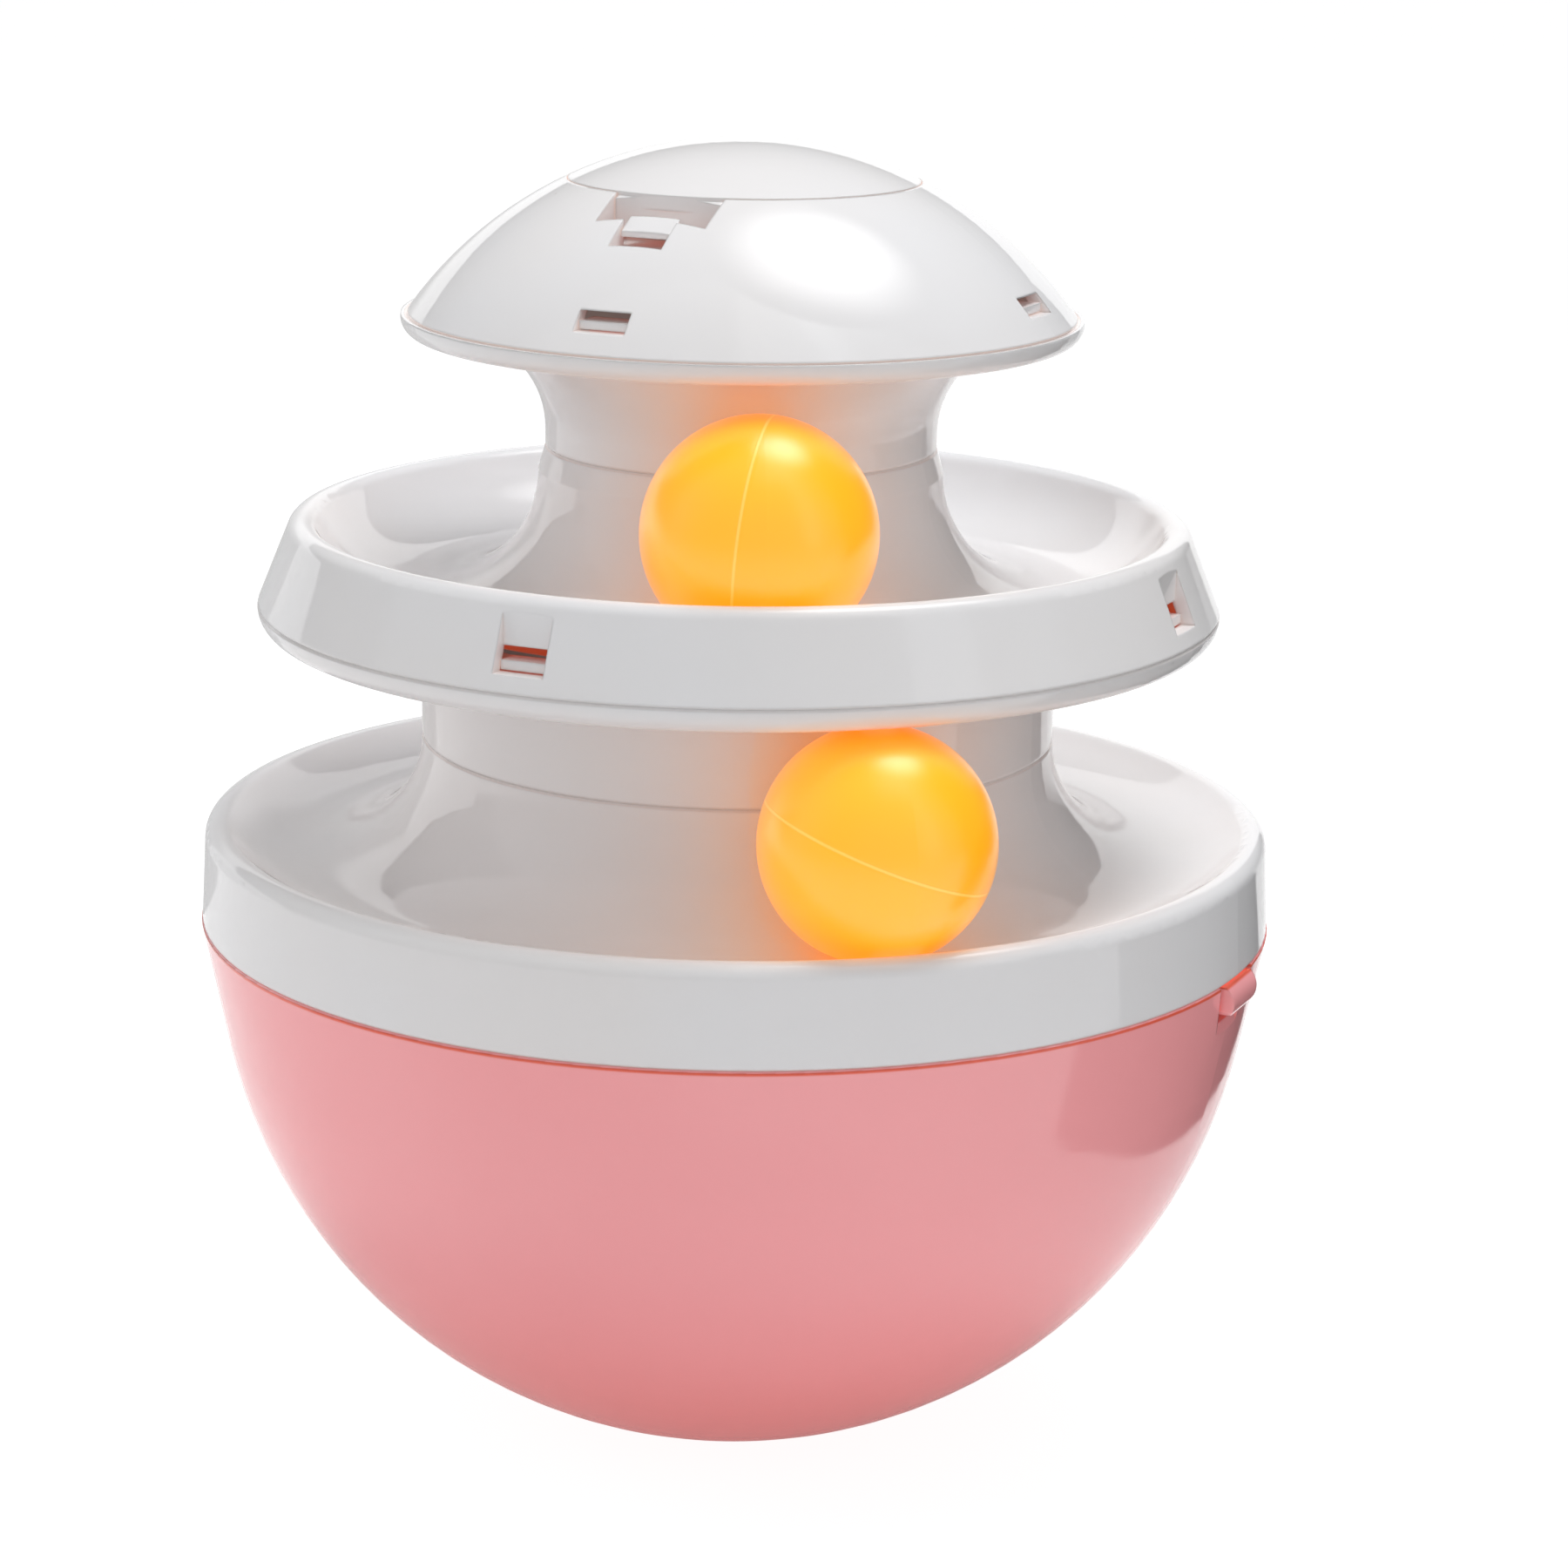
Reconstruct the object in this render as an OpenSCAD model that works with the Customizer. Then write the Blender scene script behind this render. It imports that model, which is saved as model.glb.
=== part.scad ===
// Roly-poly treat toy: weighted bowl, two ball tracks and a lidded treat hopper.
// Millimetres, +Z up, floor at z = 0, lid catch towards -Y, treat door towards +X.

/* [Bowl] */
// Radius of the round underside
bowl_r = 90; // [84:0.5:100]
// Radius of the flat spot that the bowl stands on
foot_r = 14; // [8:0.5:22]
// Height of the bowl lip above the floor
bowl_h = 92; // [88:0.5:104]
// Outward lean of the upper bowl wall in degrees
bowl_draft = 11.4; // [8:0.2:14]
// Thickness of the bowl wall
bowl_wall = 2.4; // [1.8:0.1:3.0]
// Thickness of the bowl over its flat spot
foot_t = 3.2; // [2.4:0.1:5]

/* [Treat door] */
// Height of the doorway below the lip
outlet_h = 7.6; // [7:0.1:9]
// Width of the doorway at the lip
outlet_w = 16; // [14:0.2:18]
// Width of the doorway at its sill
sill_w = 10.6; // [9:0.2:12]
// How far the door bulges past the bowl wall
door_bulge = 1.9; // [1:0.1:2.2]
// Thickness of the door
door_t = 2; // [1.6:0.1:2.4]
// Radius of the door pin
door_pin_r = 0.7; // [0.6:0.05:0.75]

/* [Balls] */
// Diameter of both balls
ball_d = 38; // [35:0.5:42]
// Wall of the hollow balls
ball_wall = 0.8; // [0.5:0.1:1.5]
// Place of the lower ball round its track, degrees from +X
lower_ball_az = -47.7; // [-180:0.1:180]
// Place of the upper ball round its track, degrees from +X
upper_ball_az = -61.8; // [-180:0.1:180]

/* [Lower track] */
// Height of the lower track floor above the bowl lip
lower_floor_up = 11.4; // [10:0.1:16]
// Distance from the middle of the lower track to its rim
lower_reach = 14.6; // [12:0.1:17]
// How much narrower the band is at its top
band_taper = 0.7; // [0:0.1:2]
// Free height above the lower ball
lower_headroom = 0.6; // [0.4:0.1:4]

/* [Upper track] */
// Overhang of the upper track past the middle of the lower one
upper_overhang = 7.7; // [4:0.1:12]
// Distance from the edge of the skirt to the middle of the upper track
upper_inset = 27.6; // [26.5:0.1:30]
// Height of the upper rim above the skirt edge
upper_rim_up = 14.6; // [13:0.1:16]
// Height of the upper track floor above the skirt edge
upper_floor_up = 2.6; // [2.4:0.1:3.2]
// Height of the pan rim under the skirt
pan_rim_h = 4.3; // [4:0.1:6]
// Free height above the upper ball
upper_headroom = 4.7; // [2:0.1:8]

/* [Hopper] */
// Radius of the dome sphere
dome_r = 69.3; // [66:0.1:76]
// Overhang of the dome edge past the middle of the upper track
dome_overhang = 2.1; // [1:0.1:4]
// Radius of the lid
lid_r = 29.5; // [27:0.1:31]
// Width of the finger notch in front of the lid
notch_w = 19.5; // [17:0.1:22]
// Width of the catch tongue
catch_w = 8.8; // [7:0.1:11]
// Radius of the flare under the hopper
flare_r = 17; // [12:0.5:17]

/* [Walls and fits] */
// Wall of the white pieces
wall = 2.2; // [1.8:0.1:2.6]
// Radius of the rounded track rims
crest_rad = 2.6; // [2.2:0.1:3]
// Free space round the ball in its groove
track_clear = 1; // [0.6:0.1:1.5]
// Gap under each ball
ball_gap = 0.3; // [0.25:0.05:0.5]
// Gap between pieces that are snapped together
fit_gap = 0.25; // [0.2:0.05:0.35]
// Gap round pieces that slide
slide_gap = 0.3; // [0.25:0.05:0.4]
// Radius of the fine groove at each seam
seam_r = 0.3; // [0.2:0.05:0.4]
// Radius of the lid hinge pin
pin_r = 1; // [0.8:0.05:1.2]
// Radial clearance of the hinge pin in the lid
pin_clear = 0.05; // [0.03:0.01:0.08]

/* [Weight and screws] */
// Height of the top of the counterweight
weight_top = 16.5; // [13:0.5:22]
// Radius of the small screws
screw_r = 1.5; // [1.2:0.1:1.7]
// Radius of the counterweight screw
weight_screw_r = 2; // [1.7:0.1:2.3]

/* [Hidden] */
$fn = 96;
screw_clear = 0.08;
screw_head_r = screw_r * 2;
screw_head_h = 1.9;

// Bowl
bowl_cz = sqrt(bowl_r * bowl_r - foot_r * foot_r);
bowl_tr = bowl_r * cos(bowl_draft);
bowl_tz = bowl_cz - bowl_r * sin(bowl_draft);
bowl_ir = bowl_r - bowl_wall;
bowl_tri = bowl_ir * cos(bowl_draft);
bowl_tzi = bowl_cz - bowl_ir * sin(bowl_draft);
function bowl_out_at(z) = bowl_tr + (z - bowl_tz) * tan(bowl_draft);
function bowl_in_at(z) = bowl_tri + (z - bowl_tzi) * tan(bowl_draft);
lip_r = bowl_out_at(bowl_h);

// Treat door
sill_z = bowl_h - outlet_h;
sill_drop = 2;
sill_cut = 0.7;
sill_in = bowl_out_at(sill_z) - sill_cut;
function doorway_half(z) = sill_w / 2 + (outlet_w - sill_w) / 2 * (z - sill_z) / outlet_h;
door_low = sill_z + 0.9;
door_top = bowl_h - 0.4;
door_arc = sill_w * 0.85;
door_side = slide_gap + 1.3;
door_hz = bowl_h - 1.9;
door_hx = bowl_out_at(door_hz) - bowl_wall * 0.7;
door_barrel = door_pin_r * 2;
door_half = (door_top - door_low) / 2;
door_br = (door_half * door_half + door_bulge * door_bulge) / (2 * door_bulge);
door_bz = door_low + door_half + (door_br - door_bulge) * sin(bowl_draft);
door_bx = bowl_out_at(door_low + door_half) - (door_br - door_bulge) * cos(bowl_draft);
door_pin_l = 2 * (doorway_half(door_hz) + 2);

// Treat floor and weight
floor_t = 2;
floor_rise = 3;
floor_edge_r = bowl_in_at(sill_z - floor_t) - fit_gap;
floor_grip = 12;
floor_post = bowl_r * 0.733;
pad_r = screw_r * 2 + 2;
pad_z = sill_z - 4;
head_z = sill_z - 0.5;
weight_r = bowl_ir - fit_gap;
boss_r = weight_screw_r + 2.5;
washer_t = 1.2;

// Lower track
ball_r = ball_d / 2;
groove_r = ball_r + track_clear;
band_bot_r = lip_r - 0.2;
band_top_r = band_bot_r - band_taper;
crest1_r = band_top_r - crest_rad;
lower_orbit = crest1_r - lower_reach;
lower_floor_z = bowl_h + lower_floor_up;
lower_gz = lower_floor_z + groove_r;
crest1_z = lower_gz - sqrt(pow(groove_r + crest_rad, 2) - pow(lower_reach, 2));
// Line of the band, from the lip to the rounded rim
band_d = sqrt(pow(band_bot_r - crest1_r, 2) + pow(crest1_z - bowl_h, 2));
band_a = atan2(crest1_z - bowl_h, crest1_r - band_bot_r) - asin(crest_rad / band_d);
band_l = sqrt(band_d * band_d - crest_rad * crest_rad);
band_tr = band_bot_r + band_l * cos(band_a);
band_tz = bowl_h + band_l * sin(band_a);
fan1 = 3 * groove_r * lower_reach / (lower_gz - crest1_z);
riser1_r = lower_orbit - groove_r;
seam1_z = lower_gz;
spigot_h = 5;
boss1_r = screw_r + 2;
lug1_r = riser1_r - wall - fit_gap - boss1_r - 0.3;
neck_screw_l = screw_r * 7 + 0.5;
neck_hole_l = neck_screw_l + 2;

// Lower neck and upper track
pan1_z = lower_floor_z + ball_gap + ball_d + lower_headroom;
tray_z = pan1_z + pan_rim_h;
tray_r = lower_orbit + upper_overhang;
upper_orbit = tray_r - upper_inset;
upper_floor_z = tray_z + upper_floor_up;
upper_gz = upper_floor_z + groove_r;
crest2_z = tray_z + upper_rim_up - crest_rad;
crest2_dr = sqrt(pow(groove_r + crest_rad, 2) - pow(upper_gz - crest2_z, 2));
crest2_r = upper_orbit + crest2_dr;
fan2 = 3 * groove_r * crest2_dr / (upper_gz - crest2_z);
riser2_r = upper_orbit - groove_r;
seam2_z = upper_gz + 4.1;
neck2_r = riser2_r - 1.2;
boss2_r = screw_r + 1.9;
lug2_r = neck2_r - wall - fit_gap - boss2_r - 0.3;
// Line of the skirt, from its edge to the rounded rim
skirt_d = sqrt(pow(tray_r - crest2_r, 2) + pow(crest2_z - tray_z, 2));
skirt_a = atan2(crest2_z - tray_z, crest2_r - tray_r) - asin(crest_rad / skirt_d);
skirt_l = sqrt(skirt_d * skirt_d - crest_rad * crest_rad);
skirt_tr = tray_r + skirt_l * cos(skirt_a);
skirt_tz = tray_z + skirt_l * sin(skirt_a);
skirt_w = wall / sin(skirt_a) + 0.3;
function skirt_at(z) = tray_r + (z - tray_z) * cos(skirt_a) / sin(skirt_a);
win1_w = 8.8;
win1_z = tray_z + 2.8;
win1_top = win1_z + 3.9;
win1_pocket = win1_z + 9.4;
win1_x = skirt_at(win1_pocket);

// Hopper
pan2_z = upper_floor_z + ball_gap + ball_d + upper_headroom;
dome_z = pan2_z + 3.5;
dome_edge_r = upper_orbit + dome_overhang;
dome_cz = dome_z - sqrt(dome_r * dome_r - dome_edge_r * dome_edge_r);
dome_ir = dome_r - wall;
function dome_at(r) = dome_cz + sqrt(dome_r * dome_r - r * r);
function dome_in_at(r) = dome_cz + sqrt(dome_ir * dome_ir - r * r);
function dome_r_at(z) = sqrt(dome_r * dome_r - pow(z - dome_cz, 2));
function dome_ir_at(z) = sqrt(dome_ir * dome_ir - pow(z - dome_cz, 2));
pan2_rim = 3;
pan2_rim_r = dome_edge_r + 1 - pan2_rim;
flare_top = pan2_z + 0.8;
flare = min(flare_r, flare_top - seam2_z - 0.5, pan2_rim_r - neck2_r - 2);
flare_cz = flare_top - flare;
flare_cr = neck2_r + flare;
win2_w = 9;
win2_z = dome_z + 3.4;
win2_top = win2_z + 3.15;
hook2_x = dome_ir_at(win2_z + 2) - fit_gap - 0.7;
lid_hole_r = lid_r + 0.3;
ledge_r = lid_r - 3;
ledge_z = dome_in_at(lid_r) - 0.3;
notch_y = lid_r + 6.1;
notch_floor = dome_at(notch_y) - 4.4;
tongue_y = notch_y + 5.5;
hinge_y = lid_r + 4;
hinge_z = dome_at(lid_hole_r) - 1.2;
barrel_r = pin_r + 0.7;
knuckle = 5;
ear = 3;
hinge_l = 2 * (knuckle + slide_gap + ear);
catch_press = 1.2;
lid_front = lid_r - 0.4;
plate_z = notch_floor + 1.6;
plate_t = 1.2;
plate_lift = 0.12;

// Half section of the bowl filled to the axis, a given distance inside its outer face
module bowl_2d(inset, low, high) {
    r = bowl_r - inset;
    turn_z = bowl_cz - r * sin(bowl_draft);
    turn_r = r * cos(bowl_draft);
    union() {
        intersection() {
            translate([0, bowl_cz])
                circle(r = r);
            translate([0, low])
                square([bowl_r + 1, turn_z - low]);
        }
        polygon([[0, turn_z], [turn_r, turn_z],
            [turn_r + (high - turn_z) * tan(bowl_draft), high], [0, high]]);
    }
}

// Doorway through the bowl wall, narrower towards its sill, with a sloped outer sill edge
module doorway() {
    low = sill_z - sill_drop * 2;
    high = bowl_h + 2;
    intersection() {
        rotate([90, 0, 90])
            linear_extrude(height = bowl_r + 20)
                polygon([[-doorway_half(low), low], [doorway_half(low), low],
                    [doorway_half(high), high], [-doorway_half(high), high]]);
        rotate([90, 0, 0])
            linear_extrude(height = outlet_w * 2, center = true)
                polygon([[bowl_ir - 8, sill_z], [sill_in, sill_z],
                    [sill_in + 2 * (sill_cut - sill_drop * tan(bowl_draft)), low], [bowl_r + 20, low],
                    [bowl_r + 20, high], [bowl_ir - 8, high]]);
    }
}

module bowl() {
    color([0.91, 0.62, 0.64])
    difference() {
        union() {
            rotate_extrude()
                difference() {
                    bowl_2d(0, 0, bowl_h);
                    bowl_2d(bowl_wall, foot_t, bowl_h + 1);
                    translate([lip_r, bowl_h])
                        circle(r = seam_r);
                }
            intersection() {
                rotate_extrude()
                    bowl_2d(bowl_wall / 2, 1, bowl_h - 0.5);
                union() {
                    for (a = [45 : 90 : 315])
                        rotate([0, 0, a])
                            translate([floor_post, 0, 0])
                                cylinder(r = screw_r + 2.6, h = pad_z);
                    cylinder(r = boss_r, h = weight_top - 3);
                }
            }
        }
        doorway();
        translate([door_hx, 0, door_hz])
            rotate([90, 0, 0])
                cylinder(r = door_pin_r + 0.03, h = door_pin_l + 0.2, center = true);
        for (a = [45 : 90 : 315])
            rotate([0, 0, a])
                translate([floor_post, 0, pad_z - floor_grip - 2])
                    cylinder(r = screw_r + screw_clear, h = floor_grip + 3);
        translate([0, 0, foot_t + 1])
            cylinder(r = weight_screw_r + screw_clear, h = weight_top);
    }
}

module counterweight() {
    color([0.45, 0.46, 0.48])
    rotate_extrude()
        intersection() {
            translate([0, bowl_cz])
                circle(r = weight_r);
            translate([boss_r + fit_gap, foot_t])
                square([bowl_r, weight_top - foot_t]);
        }
}

module weight_washer() {
    color([0.7, 0.71, 0.73])
    translate([0, 0, weight_top])
        difference() {
            cylinder(r = boss_r + 4.5, h = washer_t);
            translate([0, 0, -1])
                cylinder(r = weight_screw_r + 0.3, h = washer_t + 2);
        }
}

// Pan head screw with a cross recess, head above z = 0 and shank below
module pan_screw(r, head_r, head_h, len) {
    difference() {
        union() {
            cylinder(r = head_r, h = head_h);
            translate([0, 0, -len])
                cylinder(r = r, h = len + 0.1);
        }
        translate([-head_r * 0.6, -0.35, head_h - 0.9])
            cube([head_r * 1.2, 0.7, 2]);
        translate([-0.35, -head_r * 0.6, head_h - 0.9])
            cube([0.7, head_r * 1.2, 2]);
    }
}

module weight_screw() {
    color([0.75, 0.76, 0.78])
    translate([0, 0, weight_top + washer_t])
        pan_screw(weight_screw_r, weight_screw_r * 1.9, 2.4, weight_top + washer_t - foot_t - 2);
}

module treat_floor() {
    color([0.93, 0.93, 0.93])
    difference() {
        union() {
            rotate_extrude()
                polygon([[0, sill_z + floor_rise - floor_t], [floor_edge_r, sill_z - floor_t],
                    [floor_edge_r, sill_z], [0, sill_z + floor_rise]]);
            for (a = [45 : 90 : 315])
                rotate([0, 0, a])
                    translate([floor_post, 0, pad_z])
                        cylinder(r = pad_r, h = sill_z + 1.5 - pad_z);
        }
        for (a = [45 : 90 : 315])
            rotate([0, 0, a])
                translate([floor_post, 0, 0]) {
                    translate([0, 0, head_z])
                        cylinder(r = screw_head_r + 0.4, h = 5);
                    translate([0, 0, pad_z - 1])
                        cylinder(r = screw_r + 0.3, h = 10);
                }
    }
}

module floor_screws() {
    color([0.75, 0.76, 0.78])
    for (a = [45 : 90 : 315])
        rotate([0, 0, a])
            translate([floor_post, 0, head_z])
                pan_screw(screw_r, screw_head_r, screw_head_h, head_z - pad_z + floor_grip);
}

// Outline of the door seen from outside, rounded at the bottom and with more side room at the hinge
module door_2d() {
    intersection() {
        polygon([[-doorway_half(door_low) + slide_gap, door_low],
            [doorway_half(door_low) - slide_gap, door_low],
            [doorway_half(door_top) - door_side, door_top],
            [-doorway_half(door_top) + door_side, door_top]]);
        translate([0, door_low + door_arc])
            circle(r = door_arc);
    }
}

module treat_door() {
    color([0.86, 0.5, 0.53])
    difference() {
        union() {
            intersection() {
                rotate([90, 0, 90])
                    linear_extrude(height = bowl_r + 20)
                        door_2d();
                difference() {
                    union() {
                        rotate_extrude()
                            bowl_2d(0, 1, bowl_h);
                        translate([door_bx, 0, door_bz])
                            rotate([90, 0, 0])
                                cylinder(r = door_br, h = outlet_w * 2, center = true);
                    }
                    rotate_extrude()
                        bowl_2d(door_t, 0, bowl_h + 1);
                }
            }
            translate([door_hx, 0, door_hz])
                rotate([90, 0, 0])
                    cylinder(r = door_barrel,
                        h = 2 * (doorway_half(door_hz - door_barrel) - door_side), center = true);
        }
        translate([door_hx, 0, door_hz])
            rotate([90, 0, 0])
                cylinder(r = door_pin_r + pin_clear, h = outlet_w * 2, center = true);
    }
}

module door_pin() {
    color([0.75, 0.76, 0.78])
    translate([door_hx, 0, door_hz])
        rotate([90, 0, 0])
            cylinder(r = door_pin_r, h = door_pin_l, center = true);
}

// Shell of a ball groove, from the neck round to the rim
module groove_2d(orbit, gz, fan) {
    translate([orbit, gz])
        intersection() {
            difference() {
                circle(r = groove_r + wall);
                circle(r = groove_r);
            }
            polygon([[0, 0], [-3 * groove_r, 0], [-3 * groove_r, -3 * groove_r],
                [fan, -3 * groove_r]]);
        }
}

module lower_track_2d() {
    band_ir = band_bot_r - wall;
    difference() {
        union() {
            groove_2d(lower_orbit, lower_gz, fan1);
            translate([crest1_r, crest1_z])
                circle(r = crest_rad);
            polygon([[band_bot_r, bowl_h], [band_tr, band_tz],
                [band_tr - wall - 0.3, band_tz], [band_ir, bowl_h]]);
        }
        translate([band_bot_r, bowl_h])
            circle(r = seam_r);
        translate([riser1_r, seam1_z])
            circle(r = seam_r);
    }
}

// Ring that centres the lower track in the bowl, left out behind the door
module lower_spigot() {
    band_ir = band_bot_r - wall;
    low_r = bowl_in_at(bowl_h - spigot_h) - fit_gap;
    top_r = bowl_in_at(bowl_h) - fit_gap;
    keep = outlet_w / 2 + 2.5;
    difference() {
        rotate_extrude()
            polygon([[low_r - 2, bowl_h - spigot_h], [low_r, bowl_h - spigot_h], [top_r, bowl_h],
                [band_ir + 0.4, bowl_h], [band_ir + 0.4, bowl_h + 4], [top_r - 1.6, bowl_h + 4]]);
        translate([bowl_ir - 15, -keep, bowl_h - spigot_h - 1])
            cube([30, 2 * keep, spigot_h + 1]);
    }
}

// Screw tab on the inside of a neck, with its hole
module neck_lug(r, reach, z) {
    difference() {
        translate([r - screw_head_r - 0.6, -screw_head_r - 1.2, z])
            cube([reach - r + screw_head_r + 0.6, 2 * screw_head_r + 2.4, 3]);
        translate([r, 0, z - 1])
            cylinder(r = screw_r + 0.3, h = 5);
    }
}

module lower_track() {
    color([0.94, 0.94, 0.95])
    union() {
        rotate_extrude()
            lower_track_2d();
        lower_spigot();
        for (a = [45 : 90 : 315])
            rotate([0, 0, a])
                neck_lug(lug1_r, riser1_r - wall / 2, seam1_z - 7);
    }
}

module lower_neck_2d() {
    rim = pan_rim_h - 0.3;
    in_r = riser1_r - wall;
    difference() {
        union() {
            translate([in_r, seam1_z])
                square([wall, pan1_z - seam1_z + 1]);
            translate([in_r - fit_gap - 2, seam1_z - 3])
                square([2, 3.5]);
            translate([in_r - fit_gap - 2, seam1_z])
                square([2.6 + fit_gap, 2.2]);
            translate([in_r, pan1_z])
                square([tray_r - rim - in_r, wall]);
            intersection() {
                translate([tray_r - rim, pan1_z + rim])
                    difference() {
                        circle(r = rim);
                        circle(r = rim - wall);
                    }
                translate([tray_r - rim, pan1_z])
                    square([rim + 1, rim]);
            }
            translate([tray_r - wall, pan1_z + rim])
                square([wall, pan_rim_h - rim]);
        }
        translate([riser1_r, seam1_z])
            circle(r = seam_r);
        translate([tray_r, tray_z])
            circle(r = seam_r);
    }
}

module lower_neck() {
    hook_x = skirt_at(win1_z + 1.8) - skirt_w - 1.2;
    hook_t = 1.8;
    color([0.93, 0.93, 0.94])
    difference() {
        union() {
            rotate_extrude()
                lower_neck_2d();
            for (a = [0 : 90 : 270])
                rotate([0, 0, a]) {
                    translate([hook_x - hook_t, -win1_w / 2 + fit_gap, pan1_z + 0.5])
                        cube([hook_t, win1_w - 2 * fit_gap, win1_z + 1.8 - pan1_z - 0.5]);
                    translate([hook_x - 0.2, -win1_w / 2 + fit_gap, win1_z + fit_gap])
                        cube([win1_x + 1.2 - hook_x + 0.2, win1_w - 2 * fit_gap, 1.8 - fit_gap]);
                }
            for (a = [45 : 90 : 315])
                rotate([0, 0, a])
                    translate([lug1_r, 0, seam1_z - 4])
                        cylinder(r = boss1_r, h = neck_hole_l + 3);
        }
        for (a = [45 : 90 : 315])
            rotate([0, 0, a])
                translate([lug1_r, 0, seam1_z - 5])
                    cylinder(r = screw_r + screw_clear, h = neck_hole_l);
    }
}

module lower_neck_screws() {
    color([0.75, 0.76, 0.78])
    for (a = [45 : 90 : 315])
        rotate([0, 0, a])
            translate([lug1_r, 0, seam1_z - 7])
                mirror([0, 0, 1])
                    pan_screw(screw_r, screw_head_r, screw_head_h, neck_screw_l);
}

module upper_track_2d() {
    difference() {
        union() {
            groove_2d(upper_orbit, upper_gz, fan2);
            translate([crest2_r, crest2_z])
                circle(r = crest_rad);
            polygon([[tray_r, tray_z], [skirt_tr, skirt_tz], [skirt_tr - skirt_w, skirt_tz],
                [tray_r - skirt_w, tray_z]]);
            polygon([[riser2_r, upper_gz], [neck2_r, seam2_z], [neck2_r - wall, seam2_z],
                [riser2_r - wall, upper_gz]]);
        }
        translate([tray_r, tray_z])
            circle(r = seam_r);
        translate([neck2_r, seam2_z])
            circle(r = seam_r);
    }
}

module upper_track() {
    color([0.94, 0.94, 0.95])
    difference() {
        union() {
            rotate_extrude()
                upper_track_2d();
            for (a = [45 : 90 : 315])
                rotate([0, 0, a])
                    neck_lug(lug2_r, riser2_r - wall / 2, seam2_z - 8.5);
        }
        for (a = [0 : 90 : 270])
            rotate([0, 0, a]) {
                translate([win1_x, -win1_w / 2, win1_z])
                    cube([10, win1_w, win1_pocket - win1_z + 0.5]);
                translate([win1_x - 6, -win1_w / 2, win1_z])
                    cube([10, win1_w, win1_top - win1_z]);
            }
    }
}

module hopper_pan_2d() {
    difference() {
        union() {
            translate([flare_cr, flare_cz])
                intersection() {
                    difference() {
                        circle(r = flare + wall);
                        circle(r = flare);
                    }
                    translate([-2 * flare, 0])
                        square([2 * flare, 2 * flare]);
                }
            translate([neck2_r - wall, seam2_z])
                square([wall, flare_cz - seam2_z]);
            translate([neck2_r - wall - fit_gap - 2, seam2_z - 3])
                square([2, 3.5]);
            translate([neck2_r - wall - fit_gap - 2, seam2_z])
                square([2.6 + fit_gap, 2.2]);
            translate([flare_cr, flare_top])
                square([pan2_rim_r - flare_cr, wall]);
            intersection() {
                translate([pan2_rim_r, pan2_z + pan2_rim])
                    circle(r = pan2_rim);
                translate([0, pan2_z])
                    square([200, dome_z - pan2_z]);
            }
            translate([dome_ir_at(dome_z + 2) - fit_gap - 1.6, flare_top + 0.5])
                square([1.6, dome_z + 2 - flare_top - 0.5]);
        }
        translate([neck2_r, seam2_z])
            circle(r = seam_r);
        translate([dome_edge_r, dome_z])
            circle(r = seam_r);
    }
}

module hopper_pan() {
    hook_t = 1.6;
    color([0.93, 0.93, 0.94])
    difference() {
        union() {
            rotate_extrude()
                hopper_pan_2d();
            for (a = [0 : 90 : 270])
                rotate([0, 0, a]) {
                    translate([hook2_x - hook_t, -win2_w / 2 + fit_gap, flare_top + 0.5])
                        cube([hook_t, win2_w - 2 * fit_gap, win2_z + 1.6 - flare_top - 0.5]);
                    translate([hook2_x - 0.2, -win2_w / 2 + fit_gap, win2_z + fit_gap])
                        cube([dome_r_at(win2_z + 1) - 1.2 - hook2_x + 0.2, win2_w - 2 * fit_gap,
                            1.6 - fit_gap]);
                }
            for (a = [45 : 90 : 315])
                rotate([0, 0, a])
                    translate([lug2_r, 0, seam2_z - 5.5])
                        cylinder(r = boss2_r, h = neck_hole_l + 2);
        }
        for (a = [45 : 90 : 315])
            rotate([0, 0, a])
                translate([lug2_r, 0, seam2_z - 6.5])
                    cylinder(r = screw_r + screw_clear, h = neck_hole_l);
    }
}

module upper_neck_screws() {
    color([0.75, 0.76, 0.78])
    for (a = [45 : 90 : 315])
        rotate([0, 0, a])
            translate([lug2_r, 0, seam2_z - 8.5])
                mirror([0, 0, 1])
                    pan_screw(screw_r, screw_head_r, screw_head_h, neck_screw_l);
}

module dome_shell_2d() {
    difference() {
        union() {
            intersection() {
                translate([0, dome_cz])
                    difference() {
                        circle(r = dome_r);
                        circle(r = dome_ir);
                    }
                translate([lid_hole_r, dome_z])
                    square([dome_r, dome_r]);
            }
            intersection() {
                translate([0, dome_cz])
                    circle(r = dome_r - 0.6);
                translate([ledge_r, ledge_z - 1.8])
                    square([lid_hole_r + 2 - ledge_r, 1.8]);
            }
        }
        translate([dome_edge_r, dome_z])
            circle(r = seam_r);
    }
}

// Solid block of the finger notch, one size larger than its hollow
module notch_box(grow) {
    translate([-notch_w / 2 - grow, -notch_y - grow, notch_floor - grow])
        cube([notch_w + 2 * grow, notch_y - ledge_r + 6 + grow, 40]);
    translate([-catch_w / 2 - slide_gap - grow, -tongue_y - grow, notch_floor - grow])
        cube([catch_w + 2 * slide_gap + 2 * grow, 10, 40]);
}

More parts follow.
